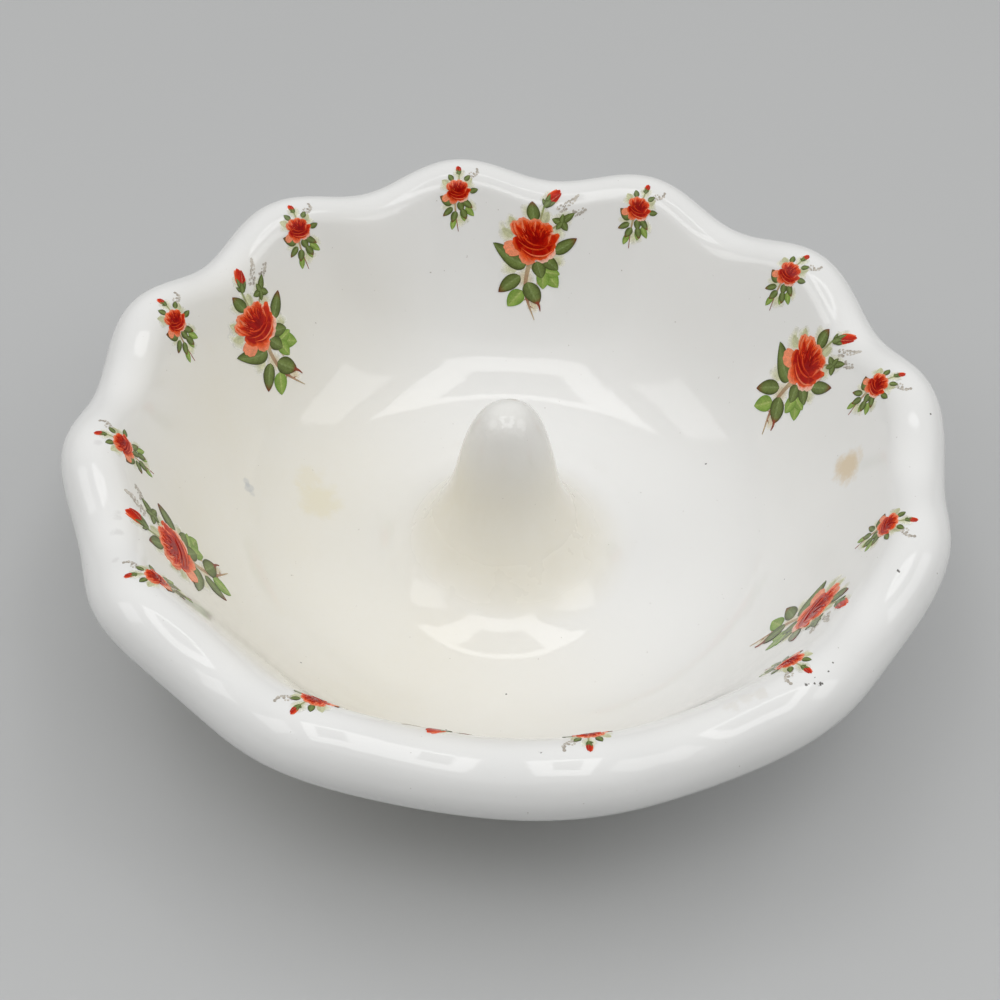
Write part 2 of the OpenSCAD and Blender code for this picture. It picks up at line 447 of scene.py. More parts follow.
LEAF_DARK = srgb(72, 78, 38)
LEAF_MID = srgb(113, 129, 69)
LEAF_VEIN = srgb(144, 160, 104)
LEAF_TIP = srgb(118, 46, 30)
LIME_DARK = srgb(110, 146, 56)
LIME_MID = srgb(144, 172, 82)
LIME_EDGE = srgb(188, 196, 126)
PALE_LEAF = srgb(206, 207, 168)
PALE_WASH = srgb(214, 214, 180)
TAN_WASH = srgb(218, 206, 176)
WASH_EDGE = srgb(236, 235, 229)
STEM_TAN = srgb(196, 178, 142)
THORN = srgb(142, 72, 52)
ROSE_HEART = srgb(146, 2, 0)
ROSE_DEEP = srgb(172, 12, 0)
ROSE_RED = srgb(202, 38, 4)
ROSE_ORANGE = srgb(234, 88, 36)
ROSE_SALMON = srgb(244, 148, 110)
ROSE_CREAM = srgb(246, 200, 178)
LILAC = srgb(176, 168, 156)
PALE_LILAC = srgb(214, 208, 198)


# How a leaf's outline swells from its root and closes at its point
LEAF_ROOT = 0.6
LEAF_POINT = 0.85
# Where its dark edge begins, from the midrib outward, and over what width it deepens
LEAF_EDGE = 0.45
LEAF_EDGE_WIDE = 0.5
# Its midrib's width, its side veins' number, slant and strength, and the shade of one half
RIB_WIDE = 0.10
SIDE_VEINS = 5
VEIN_SLANT = 1.3
VEIN_SHARE = 0.45
HALF_SHADE = 0.22
# Where a coloured tip begins
TIP_FROM = 0.72


def leaf_outline(t):
    return t ** LEAF_ROOT * (1 - t) ** LEAF_POINT


def leaf(spray, base, angle, length, width, mid=LEAF_MID, dark=LEAF_DARK, vein=LEAF_VEIN,
         tip=None, curl=0.0, rows=16, columns=11):
    """A leaf from its stalk end at base: pointed, with a midrib, side veins and a dark edge."""
    t = np.linspace(0, 1, rows)[:, None]
    q = np.linspace(-1, 1, columns)[None, :]
    half = width / 2 * leaf_outline(t) / leaf_outline(LEAF_ROOT / (LEAF_ROOT + LEAF_POINT))
    x = half * q + curl * length * t * t
    y = length * t + 0 * q
    edge = np.abs(q) + 0 * t
    colour = blend(mid, dark, np.clip((edge - LEAF_EDGE) / LEAF_EDGE_WIDE, 0, 1) ** 1.2)
    rib = np.exp(-(edge / RIB_WIDE) ** 2) * (1 - t) ** 0.4
    run = np.cos(2 * math.pi * (SIDE_VEINS * t - VEIN_SLANT * edge))
    sides = np.clip(run, 0, 1) ** 4 * (1 - edge) * VEIN_SHARE
    colour = blend(colour, vein, 0.5 * rib + sides)
    shade = HALF_SHADE * (q > 0) * (1 - edge) + 0 * t
    colour = colour * (1 - shade[..., None])
    if tip is not None:
        colour = blend(colour, tip, (t - TIP_FROM) / (1 - TIP_FROM) + 0 * q)
    spray.patch(turn(np.stack([x, y], -1), angle, base), colour)


# How a petal swells from its root and draws in at its rim
PETAL_ROOT = 2.2
PETAL_CLOSE = 0.45
# Where its rim colour is full, how far down its sides that colour comes, and its streaks
RIM_FULL = 0.92
RIM_SIDES = 0.25
STREAK = 0.10
STREAKS = 9


def petal(spray, base, angle, length, width, inner, middle, outer, lift=0.16, notch=0.0,
          rim=0.62, rows=10, columns=13):
    """A rose petal from base: narrow at its root, round and pale at its rim."""
    t = np.linspace(0, 1, rows)[:, None]
    q = np.linspace(-1, 1, columns)[None, :]
    half = width / 2 * (1 - (1 - t) ** PETAL_ROOT) * np.sqrt(1 - PETAL_CLOSE * t ** 4)
    frill = notch * np.cos(5 * math.pi * q / 2) * t ** 3
    x = half * q
    y = length * t * (1 - lift * q * q - frill)
    edge = np.clip((t - rim) / (RIM_FULL - rim), 0, 1) ** 1.3 + RIM_SIDES * np.abs(q) ** 4
    colour = blend(blend(inner, middle, t / 0.6 + 0 * q), outer, edge)
    streak = STREAK * np.sin(STREAKS * q + 3 * t) * t * (1 - 0.5 * t)
    colour = np.clip(colour * (1 + streak[..., None]), 0, 1)
    spray.patch(turn(np.stack([x, y], -1), angle, base), colour)


def stroke(spray, points, wide, narrow, colour, end, steps=14, swell=False):
    """A brush stroke along a smooth run of points, tapering from wide to narrow."""
    points = np.asarray(points, float)
    u = np.linspace(0, len(points) - 1, steps)
    path = np.stack([np.interp(u, range(len(points)), points[:, k]) for k in (0, 1)], -1)
    for _ in range(3):
        path[1:-1] = (path[:-2] + 2 * path[1:-1] + path[2:]) / 4
    run = np.gradient(path, axis=0)
    side = np.stack([-run[:, 1], run[:, 0]], -1)
    side /= np.linalg.norm(side, axis=1, keepdims=True)
    half = np.linspace(wide, narrow, steps)
    if swell:
        half = half * np.clip(np.sin(np.linspace(0.04, 0.96, steps) * math.pi), 0.12, 1)
    half = half[:, None, None] / 2
    q = np.linspace(-1, 1, 3)[None, :, None]
    xy = path[:, None, :] + side[:, None, :] * half * q
    t = np.linspace(0, 1, steps)[:, None] + 0 * q[..., 0]
    spray.patch(xy, blend(colour, end, t))


def brush(spray, points, wide, colour, end):
    """A brush stroke that swells in its middle and thins out at both ends."""
    stroke(spray, points, wide, wide, colour, end, swell=True)


def disc(steps):
    """A square grid of points drawn in to a round one, of radius 1."""
    u = np.linspace(-1, 1, steps)
    x, y = np.meshgrid(u, u, indexing="ij")
    return x * np.sqrt(1 - y * y / 2), y * np.sqrt(1 - x * x / 2)


def dot(spray, centre, radius, colour):
    """A dot of print: a round patch drawn as a small grid."""
    x, y = disc(5)
    xy = np.stack([centre[0] + radius * x, centre[1] + radius * y], -1)
    spray.patch(xy, np.broadcast_to(np.asarray(colour)[:3], xy.shape[:2] + (3,)))


# Share of a wash that keeps its full colour
WASH_CORE = 0.35


def wash(spray, centre, across, up, colour=PALE_WASH):
    """A faint cloud of colour that fades out into the glaze, with an uneven edge."""
    x, y = disc(9)
    bearing = np.arctan2(y, x)
    uneven = 1 + 0.10 * np.sin(3 * bearing + centre[0]) + 0.07 * np.sin(5 * bearing + centre[1])
    xy = np.stack([centre[0] + across * x * uneven, centre[1] + up * y * uneven], -1)
    spray.patch(xy, blend(colour, WASH_EDGE, (np.hypot(x, y) - WASH_CORE) / (1 - WASH_CORE)))


# A sprig's width at its start and how much narrower its end is, how far its end rises, and
# the least and the additional radius of a dot
SPRIG_WIDE = 1.6
SPRIG_NARROWS = 0.9
SPRIG_RISE = 0.5
SPRIG_DOT = 0.12
SPRIG_DOT_MORE = 0.12


def sprig(spray, start, angle, length, draws, amount):
    """A faint sprig of dots that thins out toward its end; all its dots share one layer."""
    a = math.radians(angle)
    for i in range(amount):
        t = (i + draws.random()) / amount
        off = (draws.random() - 0.5) * (SPRIG_WIDE - SPRIG_NARROWS * t)
        along = length * t
        x = start[0] + along * math.cos(a) - off * math.sin(a)
        y = start[1] + along * math.sin(a) + off * math.cos(a) + SPRIG_RISE * t * t
        radius = SPRIG_DOT + SPRIG_DOT_MORE * draws.random()
        layer = spray.layer
        dot(spray, (x, y), radius, blend(LILAC, PALE_LILAC, draws.random()))
        spray.layer = layer


# Width of the rose as bloom draws it, and height of the bud as bud draws it, in millimetres
BLOOM_SIZE = 10.6
BUD_SIZE = 3.6
# How far a petal's rim is notched, as a share of its length
NOTCH = 0.02
# The heart of the drawn rose, from the middle of the bloom
HEART = (0.4, 0.0)
# Degrees from one fine stroke round it to the next, from the right
FAN_STEPS = (24, 7, 12, 9, 6, 14, 8, 10, 7, 13, 9, 6, 12, 8, 11, 9)


def bloom(spray, centre, size):
    """An open rose from its outer petals to its heart; size is its width in millimetres."""
    k = size / BLOOM_SIZE

    def at(x, y):
        return (centre[0] + x * k, centre[1] + y * k)

    def petals(rows, inner, middle, outer, lift=0.16, rim=0.62):
        for x, y, angle, length, width in rows:
            petal(spray, at(x, y), angle, length * k, width * k, inner, middle, outer, lift,
                  NOTCH, rim)

    def folds(rows, wide, colour, end):
        for points in rows:
            brush(spray, [at(x, y) for x, y in points], wide * k, colour, end)

    # Outer petals, pale at their rims
    petals(((-0.6, 0.4, 148, 4.3, 3.4), (-0.5, 0.4, 116, 4.1, 3.4), (0.3, 0.4, 84, 4.0, 3.6),
            (0.6, 0.4, 48, 4.0, 3.4)), ROSE_RED, ROSE_ORANGE, ROSE_SALMON, rim=0.78)
    petals(((-1.2, -0.9, 203, 4.9, 3.3),), ROSE_ORANGE, ROSE_SALMON, ROSE_SALMON, 0.10)
    petals(((0.9, 0.0, 6, 3.8, 3.6), (0.6, -0.6, 322, 4.0, 3.6), (0.8, -0.6, 288, 3.8, 3.4)),
           ROSE_RED, ROSE_ORANGE, ROSE_CREAM, rim=0.72)
    petals(((-0.6, -0.8, 252, 4.2, 3.6),), ROSE_RED, ROSE_ORANGE, ROSE_SALMON, rim=0.7)
    # The cup in front of them
    petals(((-0.6, 0.0, 206, 3.7, 3.4), (0.7, 0.0, 334, 3.6, 3.4), (0.1, -0.2, 246, 3.7, 3.8),
            (0.3, -0.2, 292, 3.6, 3.8)), ROSE_DEEP, ROSE_DEEP, ROSE_ORANGE, 0.12, 0.8)
    # Folded petals that stand up behind the heart
    petals(((-1.2, -0.6, 130, 4.3, 2.2), (-0.5, -0.4, 108, 4.4, 2.2), (0.5, -0.4, 85, 4.4, 2.4),
            (1.2, -0.5, 61, 4.3, 2.2), (1.8, -0.8, 34, 3.7, 2.2)),
           ROSE_DEEP, ROSE_RED, ROSE_ORANGE, 0.30, 0.76)
    petals(((0.2, -0.9, 98, 3.8, 2.8), (0.9, -0.8, 70, 3.4, 2.4), (-0.5, -0.9, 122, 3.2, 2.4)),
           ROSE_HEART, ROSE_DEEP, ROSE_RED, 0.34, 0.8)
    petals(((0.5, -0.4, 90, 2.2, 1.8),), ROSE_HEART, ROSE_HEART, ROSE_DEEP, 0.3)
    # Light on the edges of the folds
    folds((((-3.7, 3.0), (-3.5, 1.6), (-2.7, 0.0)), ((-2.1, 3.7), (-2.0, 2.0), (-1.1, 0.5)),
           ((2.9, 2.8), (3.2, 1.2), (2.7, -0.4)), ((0.6, 4.0), (0.2, 2.9), (0.3, 1.8))),
          0.5, ROSE_SALMON, ROSE_ORANGE)
    folds((((-0.6, 3.9), (-0.7, 2.6), (-0.2, 1.2)), ((1.9, 3.6), (2.5, 2.2), (2.2, 0.6)),
           ((1.1, 2.6), (1.5, 1.7), (1.2, 0.8)), ((-0.2, 1.9), (0.2, 1.2), (0.7, 1.0)),
           ((-3.0, -0.4), (-1.2, -1.6), (1.4, -1.7), (3.0, -0.5), (3.7, 1.2)),
           ((-3.4, 2.0), (-2.6, 0.6), (-1.8, -0.4)), ((2.6, 3.4), (3.0, 2.2), (3.0, 1.0)),
           ((-2.2, 1.5), (-1.6, 0.0), (0.0, -0.8), (1.6, -0.6))), 0.34, ROSE_ORANGE, ROSE_RED)
    folds((((-2.6, -1.6), (-0.6, -2.9), (2.0, -2.9), (3.6, -1.8)),
           ((-1.4, -3.0), (-0.8, -4.0), (0.2, -4.2))), 0.30, ROSE_ORANGE, ROSE_SALMON)
    # Fine strokes that fan out from the heart, most of them dark
    fan = [[(HEART[0] + r * math.cos(a), HEART[1] + r * math.sin(a)) for r, a in
            ((1.2 + 0.7 * (i % 3), step), (2.6, step + 0.12), (3.3 + 0.5 * (i % 2), step + 0.04))]
           for i, step in enumerate(np.radians(np.cumsum(FAN_STEPS)))]
    folds(fan[::2] + fan[1::4], 0.30, ROSE_HEART, ROSE_RED)
    folds(fan[3::4], 0.22, ROSE_RED, ROSE_ORANGE)
    folds((((-1.4, 2.6), (-1.3, 1.2), (-0.5, 0.0)), ((0.4, 2.2), (0.3, 1.2), (0.9, 0.2)),
           ((-2.8, 0.9), (-1.8, -0.9), (0.4, -1.4), (2.4, -1.0))), 0.26, ROSE_HEART, ROSE_DEEP)


def bud(spray, base, angle, size):
    """A rosebud with its sepals, from the stalk end at base."""
    k = size / BUD_SIZE

    def out(distance):
        a = math.radians(angle)
        return (base[0] + distance * k * math.cos(a), base[1] + distance * k * math.sin(a))

    red = {"mid": ROSE_RED, "dark": ROSE_ORANGE, "vein": ROSE_DEEP}
    leaf(spray, out(0.7), angle + 14, 3.4 * k, 1.5 * k, ROSE_SALMON, ROSE_ORANGE, ROSE_SALMON)
    leaf(spray, out(0.7), angle + 4, 3.6 * k, 2.2 * k, **red)
    leaf(spray, out(0.7), angle - 9, 3.2 * k, 1.4 * k, ROSE_DEEP, ROSE_RED, ROSE_SALMON)
    for aside, length, width in ((22, 2.6, 0.9), (-26, 2.1, 0.9), (62, 1.5, 0.7)):
        leaf(spray, base, angle + aside, length * k, width * k, rows=9, columns=7)
    leaf(spray, out(-0.3), angle, 1.9 * k, 1.3 * k, rows=9, columns=7)


def leaves(spray, places, **look):
    """Leaves from their stalk ends: x, y, angle, length, width and how far the tip curls."""
    for x, y, angle, length, width, curl in places:
        leaf(spray, (x, y), angle, length, width, curl=curl, **look)


LIME = {"mid": LIME_MID, "dark": LIME_DARK, "vein": LIME_EDGE}
PALE = {"mid": PALE_LEAF, "dark": PALE_LEAF, "vein": PALE_LEAF}


def large_spray():
    """The large spray, in millimetres from the middle of its film."""
    spray = Spray()
    draws = random.Random(5)
    for x, y, across, up in ((-5.0, 2.8, 1.9, 2.0), (-3.8, 4.6, 1.8, 1.7), (2.0, 7.0, 1.6, 2.1),
                             (4.6, 3.9, 1.6, 1.8), (4.2, -1.8, 1.7, 1.6), (-4.4, -4.0, 2.4, 1.5),
                             (-0.8, 7.6, 1.5, 1.7), (3.4, 10.6, 1.7, 1.5), (5.6, 6.2, 2.2, 1.7)):
        wash(spray, (x, y), across, up)
    wash(spray, (-2.0, -5.6), 1.9, 2.6, TAN_WASH)
    wash(spray, (-0.6, -10.8), 1.4, 1.6, TAN_WASH)
    sprig(spray, (4.8, 8.0), 22, 4.2, draws, 44)
    sprig(spray, (7.4, 6.8), -4, 2.4, draws, 22)
    leaves(spray, ((-4.0, 2.4, 158, 2.2, 1.6, 0.0), (-3.2, 4.2, 128, 2.2, 1.6, 0.0),
                   (2.0, 5.8, 66, 2.4, 1.6, 0.0), (3.0, -1.6, 332, 2.2, 1.6, 0.0)), **PALE)
    stroke(spray, [(0.8, 4.4), (1.6, 7.0), (2.2, 9.0)], 0.4, 0.35, STEM_TAN, LEAF_VEIN)
    stroke(spray, [(3.0, 4.2), (4.2, 5.1), (5.2, 5.5)], 0.4, 0.3, STEM_TAN, LEAF_MID)
    stroke(spray, [(-0.9, -1.6), (-1.7, -4.8), (-2.2, -7.6), (-1.6, -10.2)], 0.9, 0.5, STEM_TAN, THORN)
    stroke(spray, [(-0.9, -2.4), (0.6, -4.8), (0.4, -6.6)], 0.8, 0.5, STEM_TAN, STEM_TAN)
    stroke(spray, [(-2.1, -8.2), (-1.6, -10.8), (-0.6, -14.0)], 0.75, 0.12, THORN, STEM_TAN)
    stroke(spray, [(-1.9, -9.6), (-2.6, -10.1)], 0.30, 0.08, THORN, STEM_TAN, 4)
    stroke(spray, [(-1.3, -11.2), (-0.6, -11.6)], 0.28, 0.08, THORN, STEM_TAN, 4)
    leaves(spray, ((1.6, -3.4, 305, 4.8, 3.0, 0.05), (1.6, -3.8, 343, 3.2, 2.3, 0.0),
                   (1.5, -3.8, 267, 3.8, 2.5, 0.0), (-2.7, -8.0, 232, 4.4, 2.9, 0.05)), **LIME)
    leaves(spray, ((-1.6, -2.6, 176, 6.4, 3.7, 0.38), (0.4, -1.8, 283, 3.6, 2.7, 0.0),
                   (1.6, -0.9, 314, 4.0, 2.5, 0.0)))
    leaves(spray, ((3.6, 0.0, 19, 4.8, 2.7, -0.06), (0.2, 6.0, 94, 3.7, 2.6, 0.0),
                   (-2.9, -5.1, 217, 5.6, 2.6, -0.05), (-1.6, -6.2, 290, 5.0, 3.4, -0.05)),
           tip=LEAF_TIP)
    stroke(spray, [(0.0, -10.2), (0.6, -11.0), (0.6, -12.2)], 0.7, 0.12, THORN, THORN, 5)
    leaves(spray, ((5.5, 5.6, 152, 2.1, 1.3, 0.0), (5.3, 5.7, 26, 2.8, 1.5, 0.0),
                   (5.4, 5.8, 296, 2.2, 1.3, 0.0), (5.4, 5.5, 80, 1.8, 1.1, 0.0),
                   (5.5, 5.7, 226, 1.7, 1.1, 0.0)))
    bud(spray, (2.4, 9.0), 44, 3.6)
    bloom(spray, (0.0, 2.2), 10.6)
    return spray


def small_spray():
    """The small spray, in millimetres from the middle of its film."""
    spray = Spray()
    draws = random.Random(9)
    small = {"rows": 10, "columns": 7}
    for x, y, across, up in ((-2.0, 2.2, 1.2, 1.2), (1.8, 2.4, 1.2, 1.2), (0.2, 4.2, 1.1, 1.3),
                             (-1.4, -1.6, 1.4, 1.1), (0.8, -4.0, 1.5, 1.3), (2.6, -1.4, 1.0, 1.1)):
        wash(spray, (x, y), across, up)
    sprig(spray, (1.6, 3.8), 36, 2.6, draws, 18)
    leaves(spray, ((-1.6, 2.2, 142, 1.7, 1.1, 0.0), (1.4, 2.4, 50, 1.7, 1.1, 0.0)), **PALE, **small)
    stroke(spray, [(0.2, 2.6), (0.2, 4.2)], 0.26, 0.22, STEM_TAN, LEAF_VEIN, 6)
    stroke(spray, [(-0.3, -1.2), (-0.2, -3.0), (0.5, -6.2)], 0.42, 0.10, STEM_TAN, THORN, 8)
    leaves(spray, ((1.6, -1.8, 318, 2.1, 1.3, 0.0), (1.0, -2.4, 286, 2.1, 1.1, 0.0),
                   (-0.4, -3.8, 262, 2.1, 1.1, 0.0)), **LIME, **small)
    leaves(spray, ((-0.7, -1.1, 168, 2.8, 1.7, 0.34), (0.9, -0.6, 328, 2.3, 1.3, 0.0),
                   (0.4, -0.9, 290, 1.9, 1.3, 0.0), (-0.7, -2.0, 214, 2.2, 1.2, 0.0),
                   (-0.1, -2.6, 252, 2.1, 1.3, 0.0), (0.9, -2.2, 298, 2.0, 1.3, 0.0)),
           tip=LEAF_TIP, **small)
    leaves(spray, ((2.1, 1.0, 32, 1.8, 1.0, 0.0), (-0.9, 2.9, 122, 1.5, 1.0, 0.0),
                   (1.2, 3.0, 52, 1.5, 0.9, 0.0)), **small)
    bud(spray, (0.2, 4.2), 92, 1.6)
    bloom(spray, (0.0, 1.0), 5.1)
    return spray


# Materials

# The noise nodes give values that mostly lie between these two
NOISE_SPAN = (0.3, 0.7)


class Nodes:
    """Short calls that add and join the nodes of one material or of the world."""

    def __init__(self, owner):
        owner.use_nodes = True
        self.tree = owner.node_tree

    def add(self, kind, **values):
        node = self.tree.nodes.new(kind)
        for key, value in values.items():
            setattr(node, key, value)
        return node

    def put(self, value, socket):
        """Give a socket a plain value, or join it to another node's output."""
        if hasattr(value, "is_output"):
            self.tree.links.new(value, socket)
        else:
            socket.default_value = value

    def shade(self, key, value):
        """Set or join one socket of the material's shader."""
        self.put(value, self.tree.nodes["Principled BSDF"].inputs[key])

    def place(self):
        return self.add("ShaderNodeNewGeometry").outputs["Position"]

    def height_of(self, vector):
        node = self.add("ShaderNodeSeparateXYZ")
        self.put(vector, node.inputs[0])
        return node.outputs["Z"]

    def noise(self, scale, detail=2.0, rough=0.5):
        """Noise over the position in the scene, with its scale in cells per metre."""
        node = self.add("ShaderNodeTexNoise")
        self.put(self.place(), node.inputs["Vector"])
        for key, value in (("Scale", scale), ("Detail", detail), ("Roughness", rough)):
            node.inputs[key].default_value = value
        return node.outputs["Fac"]

    def remap(self, value, low, high, to_low=0.0, to_high=1.0, smooth=False):
        node = self.add("ShaderNodeMapRange", interpolation_type="SMOOTHSTEP" if smooth else "LINEAR")
        for key, setting in (("Value", value), ("From Min", low), ("From Max", high),
                             ("To Min", to_low), ("To Max", to_high)):
            self.put(setting, node.inputs[key])
        return node.outputs["Result"]

    def spread(self, noise, low, high, smooth=False):
        """Noise stretched so that it runs from low to high."""
        return self.remap(noise, *NOISE_SPAN, low, high, smooth)

    def maths(self, operation, a, b):
        node = self.add("ShaderNodeMath", operation=operation)
        self.put(a, node.inputs[0])
        self.put(b, node.inputs[1])
        return node.outputs["Value"]

    def vector(self, operation, a, b):
        node = self.add("ShaderNodeVectorMath", operation=operation)
        self.put(a, node.inputs[0])
        self.put(b, node.inputs[1])
        return node.outputs["Vector" if operation == "MULTIPLY" else "Value"]

    def mix(self, amount, a, b, mode="MIX"):
        node = self.add("ShaderNodeMix", data_type="RGBA", blend_type=mode)
        sockets = {s.identifier: s for s in node.inputs}
        for key, value in (("Factor_Float", amount), ("A_Color", a), ("B_Color", b)):
            self.put(value, sockets[key])
        return next(s for s in node.outputs if s.identifier == "Result_Color")

    def bump(self, height, strength, depth, under=None):
        """A bump with its depth in metres, on top of the normal under it."""
        node = self.add("ShaderNodeBump")
        node.inputs["Distance"].default_value = depth
        self.put(height, node.inputs["Height"])
        self.put(strength, node.inputs["Strength"])
        if under is not None:
            self.put(under, node.inputs["Normal"])
        return node.outputs["Normal"]


GLAZE = srgb(238, 238, 236)
CREAM_AND_WARM_SHADE = srgb(232, 227, 210)
GLAZE_IOR = 1.52
GLAZE_ROUGH = (0.04, 0.09)
# The white glaze yields to cream inside the bowl's first pair of radii, more and more toward
# one side. On the cone the same cream is painted warm shade for the occlusion and bounce light round
# its foot, coming in from the second radius to the first
CREAM_RADII = (0.052, 0.066)
CREAM_SIDE = 200.0
CREAM_REACH = (-0.020, 0.045)
CREAM_SHARES = (0.0, 0.74)
CONE_WARM_SHADE = 0.78
CONE_WARM_SHADE_RADII = (0.012, 0.023)
# The cream is cloudy: scale of the clouds and how far they thin or thicken it
CLOUDS = 26.0
CLOUD_SHARES = (0.75, 1.15)
# White flecks in the cream: their scale and how far they go back to white
FLECKS = 900.0
FLECK_SHARES = (0.0, 0.10)
# Heights over which the cone's cream and painted warm shade fade out toward its tip, and the share
# that stays
WHITE_TIP = (0.0270, 0.0400)
TIP_CREAM_AND_SHADE = 0.25
# Heights over which the cone's glaze turns from even to dimpled
DIMPLED_TIP = (0.0385, 0.0410)
# Heights between which the cone's waist is less glossy
WAIST_BELOW = (0.0120, 0.0140)
WAIST_ABOVE = (0.0185, 0.0215)
WAIST_ROUGH = 0.22
# Brown specks in the glaze: their scale, where they cut in, how strong they are
SPECKS = 1500.0
SPECK_CUT = (0.755, 0.80)
SPECK_SHARE = 0.5
SPECK_BROWN = srgb(120, 104, 84)
# Bare clay where the foot stands, with the heights over which the glaze ends
CLAY_LIGHT = srgb(206, 196, 178)
CLAY_DARK = srgb(186, 174, 154)
CLAY_GRAIN = 2600.0
CLAY_ROUGH = 0.6
GLAZE_ENDS = (0.25 * MM, 0.55 * MM)
# Gloss and relief of the glaze: scale, strength and depth of each
GLOSS_SCALE = 160.0
SWELLS = (140.0, 0.5, 0.15 * MM)
ORANGE_PEEL = (900.0, 0.10, 0.02 * MM)
# Dimples: their scale in the bowl and on the cone, strength and depth
BOWL_DIMPLES = 620.0
CONE_DIMPLES = 900.0
DIMPLE_STRENGTH = 0.7
DIMPLE_DEPTH = 0.09 * MM
# Patches in which they show: scale, where they cut in, how strong they are there
PATCHES = 55.0
PATCH_CUT = (0.60, 0.70)
PATCH_SHARE = 0.5


def wall_place(angle, s):
    return tuple(float(v) for v in inner_surface(np.array([angle]), np.array([s]))[0] * MM)


# Stains: angle round the dish, length down the wall, radius in mm, colour and strength
STAINS = (
    (352.4, 9.4, 3.9, srgb(218, 194, 152), 0.72),
    (155.4, 40.3, 5.0, srgb(228, 218, 178), 0.38),
    (150.0, 36.5, 3.5, srgb(228, 218, 182), 0.28),
    (162.0, 26.9, 0.9, srgb(168, 174, 182), 0.30),
    (162.9, 27.9, 1.1, srgb(170, 176, 184), 0.34),
    (163.9, 28.9, 0.8, srgb(172, 178, 184), 0.26),
    (290.9, -4.0, 1.4, srgb(206, 196, 180), 0.22),
    (292.6, -3.6, 1.6, srgb(214, 206, 192), 0.20),
    (294.4, -3.7, 1.3, srgb(206, 196, 180), 0.22),
    (181.0, -4.3, 1.0, srgb(168, 162, 162), 0.20),
    (192.6, -4.0, 1.0, srgb(160, 156, 150), 0.20),
    (193.4, -4.1, 0.8, srgb(160, 156, 150), 0.16),
    (195.7, -4.6, 1.1, srgb(160, 156, 150), 0.20),
    (201.4, -5.4, 1.0, srgb(168, 162, 158), 0.18),
)
# The solid core as a share of the radius, and how far noise shifts the edge: a share of the
# radius, but no more than the second value in mm
STAIN_CORE = 0.35
STAIN_SWAY = 0.55
STAIN_SWAY_MOST = 1.0
STAIN_EDGES = 420.0
# Pinholes: angle round the dish, length down the wall, radius in mm
PINHOLES = (
    (323.4, -5.1, 0.30), (299.3, -6.1, 0.24), (299.7, -6.3, 0.16), (300.3, -6.7, 0.16),
    (300.8, -7.1, 0.30), (301.1, -7.4, 0.18), (300.9, -6.0, 0.14), (302.9, -6.5, 0.16),
    (304.4, -6.0, 0.14), (265.4, -4.8, 0.32), (353.9, -7.7, 0.28), (82.9, 38.8, 0.16),
    (249.0, 33.0, 0.18), (214.0, 30.0, 0.16), (20.0, 34.0, 0.16), (336.0, 25.0, 0.14),
    (262.0, 44.0, 0.15),
)
PINHOLE_DARK = srgb(58, 50, 42)
PINHOLE_SHARE = 0.9
PINHOLE_CORE = 0.4
PINHOLE_SWAY = 0.6
PINHOLE_EDGES = 2400.0


def cream_and_warm_shade(n):
    """How far the colour turns to cream: the glaze's own cream, and painted warm shade round the
    cone's foot.
    """
    flat = n.vector("MULTIPLY", n.place(), (1, 1, 0))
    radius = n.vector("DISTANCE", flat, (0, 0, 0))
    inside = n.remap(radius, *CREAM_RADII, 1.0, 0.0, smooth=True)
    a = math.radians(CREAM_SIDE)
    side = n.vector("DOT_PRODUCT", n.place(), (math.cos(a), math.sin(a), 0))
    share = n.remap(side, *CREAM_REACH, *CREAM_SHARES, smooth=True)
    # Painted warm shade: cream round the cone's foot, where occlusion and bounce light fall
    cone = n.remap(radius, *CONE_WARM_SHADE_RADII, CONE_WARM_SHADE, 0.0, smooth=True)
    return n.maths("MAXIMUM", n.maths("MULTIPLY", inside, share), cone)


def spot(n, angle, s, radius, core, edge, sway, strength):
    """How far a round mark covers the glaze; edge is noise that shifts its outline by sway."""
    away = n.vector("DISTANCE", n.place(), wall_place(angle, s))
    reach = n.maths("ADD", away, n.maths("MULTIPLY", edge, sway * MM))
    return n.remap(reach, core * radius * MM, radius * MM, strength, 0.0, smooth=True)


def marked(n, colour):
    """The glaze with the stains and pinholes of the inner wall."""
    edge = n.spread(n.noise(STAIN_EDGES, 4.0, 0.6), -1.0, 1.0)
    for angle, s, radius, tint, strength in STAINS:
        sway = min(STAIN_SWAY * radius, STAIN_SWAY_MOST)
        cover = spot(n, angle, s, radius, STAIN_CORE, edge, sway, strength)
        colour = n.mix(cover, colour, tint)
    edge = n.spread(n.noise(PINHOLE_EDGES), -1.0, 1.0)
    for angle, s, radius in PINHOLES:
        sway = PINHOLE_SWAY * radius
        cover = spot(n, angle, s, radius, PINHOLE_CORE, edge, sway, PINHOLE_SHARE)
        colour = n.mix(cover, colour, PINHOLE_DARK)
    return colour


